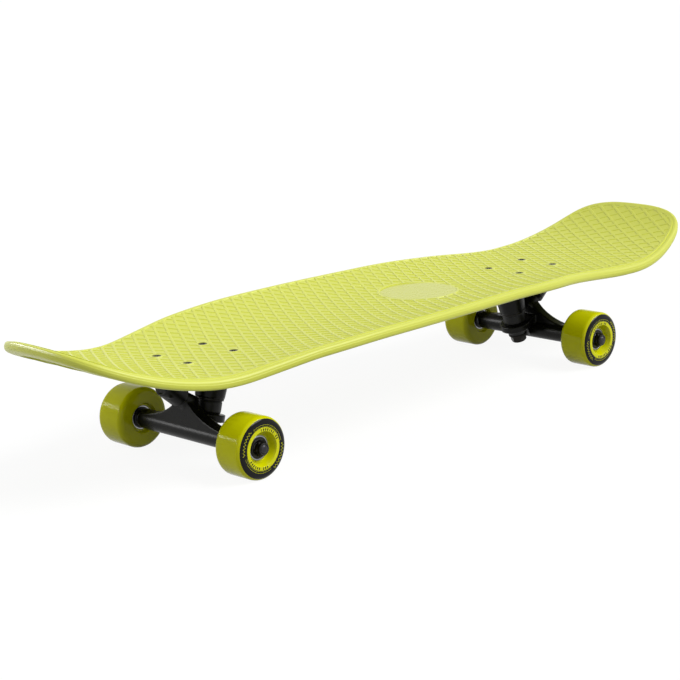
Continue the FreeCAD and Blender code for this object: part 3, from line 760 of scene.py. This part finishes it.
class SKATEBOARD_OT_bearings(bpy.types.Operator):
    """Make the bearings' outer rings with their chamfers, and their pressed-in shields"""
    bl_idname = "skateboard.make_bearings"
    bl_label = "Make Bearings"

    def execute(self, context):
        settings = context.scene.skateboard_wheel
        steps = 96
        for end, side, centre, outward in wheel_places():
            low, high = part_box(end + "_" + side + "_wheel")
            width = (high[1] - low[1]) / MM
            points, faces, parts, first = [], [], [], 0
            for start in (3.0, width - 13.0):
                # ring section, then a shield section at each end: a stepped dish with a raised inner bead
                sections = [(rounded([(9.6, start, 0.15), (10.99, start, 0.35), (10.99, start + 7, 0.35),
                                      (9.6, start + 7, 0.15)], 4), 0)]
                for face, way in ((start, 1.0), (start + 7.0, -1.0)):
                    shield = [(6.25, 0.45, 0.08), (6.25, 0.25, 0.08), (7.0, 0.2, 0.08), (7.3, 0.5, 0.1),
                              (8.6, 0.5, 0.1), (8.9, 0.22, 0.1), (9.58, 0.22, 0.05), (9.58, 0.85, 0.05)]
                    shield += [(6.25, 0.85, 0.05)]
                    sections.append((rounded([(r, face + way * d, c) for r, d, c in shield], 3), 1))
                for section, part in sections:
                    points.append(turned(section[:, 0] * MM, section[:, 1] * MM, steps, centre, outward))
                    faces.append(band_faces(len(section), steps, closed_rows=True) + first)
                    parts.append(np.full(len(faces[-1]), part))
                    first += len(points[-1])
            new_piece(end + "_" + side + "_bearings", np.concatenate(points), faces,
                      end + "_" + side + "_wheel", [end + "_" + side + "_outer_races"],
                      [finish_of(bearing_steel, settings), finish_of(shield_rubber, settings)],
                      np.concatenate(parts), 35.0)
        return {"FINISHED"}


class SKATEBOARD_OT_axles(bpy.types.Operator):
    """Make the axles with their threaded ends, and the lock nuts on them"""
    bl_idname = "skateboard.make_axles"
    bl_label = "Make Axles"

    def execute(self, context):
        settings = context.scene.skateboard_truck
        pitch = settings.thread_pitch
        zinc, oxide = finish_of(zinc_steel, settings), finish_of(blackened_steel, settings)
        nylon = finish_of(nylon_insert, settings)
        steps = 48
        for end in ENDS:
            low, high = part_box(end + "_axle")
            x, z = (low[0] + high[0]) / 2, (low[2] + high[2]) / 2
            half, radius = (high[1] - low[1]) / 2, (high[2] - low[2]) / 2
            threaded = np.arange(half - 13 * MM, half - 0.9 * MM, pitch / 6)
            tip = np.array([half - 0.8 * MM, half - 0.4 * MM, half, half, half])
            ends = np.concatenate([threaded, tip])
            tip_radii = np.array([radius - 0.3 * MM, radius - 0.6 * MM, radius - 1.0 * MM, 1.2 * MM, 0.0])
            radii = np.concatenate([np.full(len(threaded), radius), tip_radii])
            heights = np.concatenate([-ends[::-1], ends])
            radii = np.concatenate([radii[::-1], radii])

            def thread(r, height, turn):
                """The radius dips by up to 0.55 mm as a triangle wave of (height / pitch - turn)."""
                wave = (np.abs(height) / pitch - np.sign(height) * turn / (2 * math.pi)) % 1.0
                dip = 0.55 * MM * (1 - np.abs(2 * wave - 1))
                cut = (np.abs(height) > half - 12.5 * MM) & (np.abs(height) < half - 0.85 * MM)
                return r - dip * cut, height

            points = turned(radii, heights, steps, (x, 0.0, z), (0, 1, 0), thread)
            new_piece(end + "_axle_rod", points, [band_faces(len(radii), steps)], end + "_hanger",
                      [end + "_axle"], [zinc], None, 50.0)
        for end, side, centre, outward in wheel_places():
            low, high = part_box(end + "_" + side + "_axle_nut")
            flats = 12.7 * MM
            start = abs(low[1] - centre[1]) if outward[1] > 0 else abs(high[1] - centre[1])
            tall = high[1] - low[1]
            body = tall * 0.68
            corner = flats / math.sqrt(3)
            levels = np.array([0.0, 0.0, 0.15, 0.5, 0.85, 1.0]) * body
            cones = np.array([4.05 * MM, flats / 2, corner, corner, corner, flats / 2 * 1.01])
            collar = [(5.75, body), (5.75, tall - 0.7 * MM), (5.5, tall - 0.25 * MM), (5.0, tall),
                      (4.5, tall - 0.1 * MM), (4.4, tall - 0.5 * MM), (4.02, tall - 0.6 * MM), (4.02, 0.0)]
            radii = np.concatenate([cones, [r * MM for r, _ in collar]])
            heights = np.concatenate([levels, [h for _, h in collar]])

            def hexagon(r, height, turn):
                """The lesser of the profile's radius and the hexagon's: half the flats / cos(turn from a flat)."""
                from_flat = (turn + math.pi / 6) % (math.pi / 3) - math.pi / 6
                flat = flats / 2 / np.cos(from_flat)
                return np.minimum(r, flat), height

            points = turned(radii, start + heights, 72, centre, outward, hexagon)
            faces = band_faces(len(radii), 72, closed_rows=True)
            parts = np.repeat((np.arange(len(radii)) >= 9) & (np.arange(len(radii)) < 12), 72).astype(int)
            new_piece(end + "_" + side + "_lock_nut", points, [faces], end + "_hanger",
                      [end + "_" + side + "_axle_nut"], [oxide, nylon], parts, 25.0)
        return {"FINISHED"}


# ---------------------------------------------------------------- trucks

class SKATEBOARD_OT_castings(bpy.types.Operator):
    """Round the hangers' and baseplates' corners as cast metal's are, and coat them"""
    bl_idname = "skateboard.make_castings"
    bl_label = "Make Castings"

    def execute(self, context):
        settings = context.scene.skateboard_truck
        coat = finish_of(powder_coat, settings)
        for end in ENDS:
            for node, body in (("hanger", end + "_hanger"), ("baseplate", "board")):
                # each surface point moves to the mean of its neighbours a few times over, which rounds
                # every corner by about the grain size and fills the inner ones like a cast fillet
                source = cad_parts[end + "_" + node]
                mesh = bpy.data.meshes.new(end + "_" + node + "_source")
                shape = bmesh.new()
                shape.from_mesh(source.data)
                bmesh.ops.remove_doubles(shape, verts=shape.verts, dist=2e-6)
                shape.to_mesh(mesh)
                shape.free()
                draft = bpy.data.objects.new(end + "_" + node + "_draft", mesh)
                context.scene.collection.objects.link(draft)
                remesh = draft.modifiers.new("Fillet grain", "REMESH")
                remesh.mode = "VOXEL"
                remesh.voxel_size = settings.fillet_voxel
                smooth = draft.modifiers.new("Fillet", "SMOOTH")
                smooth.factor = 0.5
                smooth.iterations = settings.fillet_passes
                context.view_layer.update()
                done = draft.evaluated_get(context.evaluated_depsgraph_get())
                final = bpy.data.meshes.new_from_object(done)
                bpy.data.objects.remove(draft)
                bpy.data.meshes.remove(mesh)
                final.materials.clear()
                final.materials.append(coat)
                final.shade_smooth()
                piece = bpy.data.objects.new(end + "_" + node + "_casting", final)
                context.scene.collection.objects.link(piece)
                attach(piece, body)
                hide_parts(end + "_" + node)
        return {"FINISHED"}


class SKATEBOARD_OT_hardware(bpy.types.Operator):
    """Give the frame's own fasteners, washers, bushings and bearing parts their finishes"""
    bl_idname = "skateboard.finish_hardware"
    bl_label = "Finish Hardware"

    def execute(self, context):
        settings = context.scene.skateboard_truck
        oxide, rubber = finish_of(blackened_steel, settings), finish_of(bushing_urethane, settings)
        steel, nylon = finish_of(bearing_steel, settings), finish_of(nylon_insert, settings)
        finishes = {"kingpin": oxide, "top_washer": oxide, "bottom_washer": oxide, "kingpin_nut": oxide,
                    "locknuts": oxide, "top_bushing": rubber, "bottom_bushing": rubber, "pivot_cup": nylon,
                    "inner_races": steel, "balls": steel, "spacer": steel, "speed_washers": steel}
        for name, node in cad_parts.items():
            for ending, material in finishes.items():
                if name.endswith("_" + ending):
                    for held in node.material_slots:
                        held.link = "OBJECT"
                        held.material = material
        return {"FINISHED"}


# ---------------------------------------------------------------- stage

class SKATEBOARD_OT_stage(bpy.types.Operator):
    """Make the pale floor, the soft lights, the even sky light and the camera"""
    bl_idname = "skateboard.make_stage"
    bl_label = "Make Stage"

    def execute(self, context):
        scene = context.scene
        settings = scene.skateboard_stage
        half = 15.0
        mesh = bpy.data.meshes.new("floor")
        mesh.from_pydata([(-half, -half, 0), (half, -half, 0), (half, half, 0), (-half, half, 0)], [],
                         [(0, 1, 2, 3)])
        floor = bpy.data.objects.new("floor", mesh)
        scene.collection.objects.link(floor)
        # matt white paper: seen directly or in a gloss it is white, and it keeps part of the shadow
        paper = bpy.data.materials.new("paper_matt_white")
        paper.use_nodes = True
        tree = paper.node_tree
        tree.nodes.clear()
        seen = add(tree, "ShaderNodeLightPath")
        direct = add(tree, "ShaderNodeMath", {0: seen.outputs["Is Camera Ray"],
                                              1: seen.outputs["Is Glossy Ray"]}, operation="MAXIMUM")
        shown = add(tree, "ShaderNodeMath", {0: direct.outputs[0], 1: seen.outputs["Is Transmission Ray"]},
                    operation="MAXIMUM")
        lit = add(tree, "ShaderNodeBsdfDiffuse", {"Color": (0.4, 0.4, 0.4, 1.0)})
        glow = add(tree, "ShaderNodeEmission", {"Color": (1.0, 1.0, 1.0, 1.0), "Strength": 1.22})
        share = add(tree, "ShaderNodeMath", {0: shown.outputs[0], 1: 1.0 - settings.shadow_share},
                    operation="MULTIPLY")
        mixed = add(tree, "ShaderNodeMixShader", {0: share.outputs[0], 1: lit.outputs[0], 2: glow.outputs[0]})
        add(tree, "ShaderNodeOutputMaterial", {"Surface": mixed.outputs[0]})
        mesh.materials.append(paper)

        world = bpy.data.worlds.new("studio")
        world.use_nodes = True
        scene.world = world
        tree = world.node_tree
        tree.nodes.clear()
        seen = add(tree, "ShaderNodeLightPath")
        direct = add(tree, "ShaderNodeMath", {0: seen.outputs["Is Camera Ray"],
                                              1: seen.outputs["Is Glossy Ray"]}, operation="MAXIMUM")
        shown = add(tree, "ShaderNodeMath", {0: direct.outputs[0], 1: seen.outputs["Is Transmission Ray"]},
                    operation="MAXIMUM")
        strength = add(tree, "ShaderNodeMix", {0: shown.outputs[0], 2: settings.world_light, 3: 1.0},
                       data_type="FLOAT")
        sky = add(tree, "ShaderNodeBackground", {"Color": (1.0, 1.0, 1.0, 1.0), "Strength": strength.outputs[0]})
        add(tree, "ShaderNodeOutputWorld", {"Surface": sky.outputs[0]})

        def aim(obj, place, target):
            """Puts an object at a place with its -Z axis towards a target."""
            back = np.asarray(place, float) - np.asarray(target, float)
            back /= np.linalg.norm(back)
            side = np.cross((0.0, 0.0, 1.0), back)
            side /= np.linalg.norm(side)
            turn = Matrix(np.stack([side, np.cross(back, side), back], -1).tolist()).to_4x4()
            obj.matrix_world = Matrix.Translation(place) @ turn
            scene.collection.objects.link(obj)

        key = bpy.data.lights.new("key", "SUN")
        key.energy = settings.key_light
        key.angle = math.radians(35)
        aim(bpy.data.objects.new("key", key), (1.5, -2.1, 2.6), (0, 0, 0))
        # a weak fill lights the ends, and a strip that only glosses show draws the wheels' highlights
        for name, across, power, only_gloss in (("fill", 0.6, 8.0, False), ("strip", 0.25, 60.0, True)):
            lamp = bpy.data.lights.new(name, "AREA")
            lamp.shape = "RECTANGLE"
            lamp.size = 1.8
            lamp.size_y = across
            lamp.energy = power
            holder = bpy.data.objects.new(name, lamp)
            holder.visible_diffuse = not only_gloss
            holder.visible_glossy = only_gloss
            aim(holder, (-1.35, 1.15, 0.66), (-0.25, 0.0, 0.03))

        lens = bpy.data.cameras.new("camera")
        lens.lens = settings.lens
        lens.sensor_width = 36.0
        camera = bpy.data.objects.new("camera", lens)
        right, up = (0.700537, -0.712590, -0.038238), (0.196374, 0.140983, 0.970341)
        back = (-0.686065, -0.687269, 0.238698)
        turn = Matrix([[right[k], up[k], back[k]] for k in range(3)]).to_4x4()
        camera.matrix_world = Matrix.Translation((-1.31954, -1.26563, 0.51072)) @ turn
        scene.collection.objects.link(camera)
        scene.camera = camera
        scene.view_settings.view_transform = "Standard"
        return {"FINISHED"}


# ---------------------------------------------------------------- panel and start

OPERATORS = (SKATEBOARD_OT_stage, SKATEBOARD_OT_deck, SKATEBOARD_OT_deck_bolts, SKATEBOARD_OT_wheels,
             SKATEBOARD_OT_bearings, SKATEBOARD_OT_axles, SKATEBOARD_OT_castings, SKATEBOARD_OT_hardware)
SETTINGS = {"skateboard_deck": DeckSettings, "skateboard_wheel": WheelSettings,
            "skateboard_truck": TruckSettings, "skateboard_stage": StageSettings}


class SKATEBOARD_PT_panel(bpy.types.Panel):
    """Lists the skateboard's sizes and colours, and the pieces to make"""
    bl_label = "Skateboard"
    bl_idname = "SKATEBOARD_PT_panel"
    bl_space_type = "VIEW_3D"
    bl_region_type = "UI"
    bl_category = "Skateboard"

    def draw(self, context):
        for name, group in SETTINGS.items():
            box = self.layout.box()
            for key in group.__annotations__:
                box.prop(getattr(context.scene, name), key)
        for operator in OPERATORS:
            self.layout.operator(operator.bl_idname)


def register():
    for group in SETTINGS.values():
        bpy.utils.register_class(group)
    for operator in OPERATORS:
        bpy.utils.register_class(operator)
    bpy.utils.register_class(SKATEBOARD_PT_panel)
    for name, group in SETTINGS.items():
        setattr(bpy.types.Scene, name, PointerProperty(type=group))


def unregister():
    for name in SETTINGS:
        delattr(bpy.types.Scene, name)
    bpy.utils.unregister_class(SKATEBOARD_PT_panel)
    for operator in reversed(OPERATORS):
        bpy.utils.unregister_class(operator)
    for group in reversed(list(SETTINGS.values())):
        bpy.utils.unregister_class(group)


def main():
    register()
    for operator in OPERATORS:
        group, call = operator.bl_idname.split(".")
        getattr(getattr(bpy.ops, group), call)()


if __name__ == "__main__":
    main()
